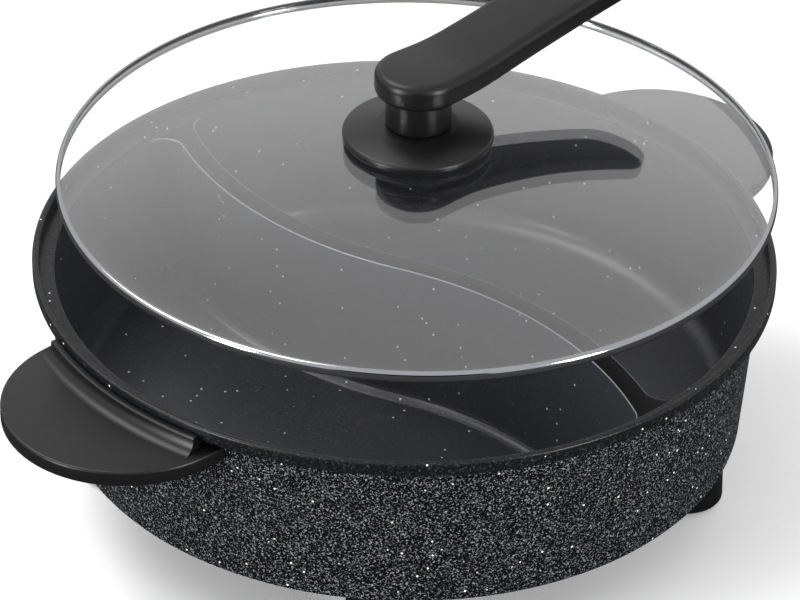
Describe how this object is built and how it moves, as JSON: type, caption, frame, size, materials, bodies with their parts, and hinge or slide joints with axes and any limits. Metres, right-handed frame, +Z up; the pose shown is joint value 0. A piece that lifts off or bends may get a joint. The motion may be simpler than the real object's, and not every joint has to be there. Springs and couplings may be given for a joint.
{
  "type": "electric hot pot with lid",
  "caption": "Round electric hot pot on feet with an S-shaped dividing wall, side handles and a domed glass lid with a long arm.",
  "frame": {"origin": "on the surface that the feet stand on, under the middle of the pot", "axes": "+Z up, +X through a side handle on the side that the lid's arm points to, +Y towards the power inlet at the back"},
  "size_m": [0.412, 0.32, 0.2353],
  "materials": {
    "stone_coating": "cast aluminium with a black speckled non-stick coating",
    "black_plastic": "satin black heat-resistant moulding",
    "steel": "plain steel",
    "polished_steel": "polished stainless steel",
    "lid_glass": "clear tempered glass",
    "rubber": "matt black silicone rubber",
    "ceramic": "off-white ceramic bush"
  },
  "bodies": {
    "pot": {"foot_screws": "steel", "handle_screws_right": "steel", "handle_screws_left": "steel", "element_cover": "steel", "cover_screws": "steel", "inlet_screws": "steel", "inlet_pins": "steel", "probe_sleeve": "steel", "heating_element": "steel", "foot_back_right": "black_plastic", "foot_back_left": "black_plastic", "foot_front_left": "black_plastic", "foot_front_right": "black_plastic", "handle_right": "black_plastic", "handle_left": "black_plastic", "inlet_housing": "black_plastic", "pot_body": "stone_coating", "foot_pads": "rubber", "pin_insulators": "ceramic"},
    "lid": {"lid_ring": "polished_steel", "lid_glass": "lid_glass", "steam_vent": "polished_steel", "knob_seal": "rubber", "knob_disc": "black_plastic", "knob_neck": "black_plastic", "knob_arm": "black_plastic", "inner_washer": "steel", "knob_screw": "steel"}
  },
  "joints": [
    {"name": "lid_lift", "type": "slide", "parent": "pot", "child": "lid", "axis": [0.081, -0.0748, 0.9939], "range_m": [-0.04045, 0.06]}
  ]
}
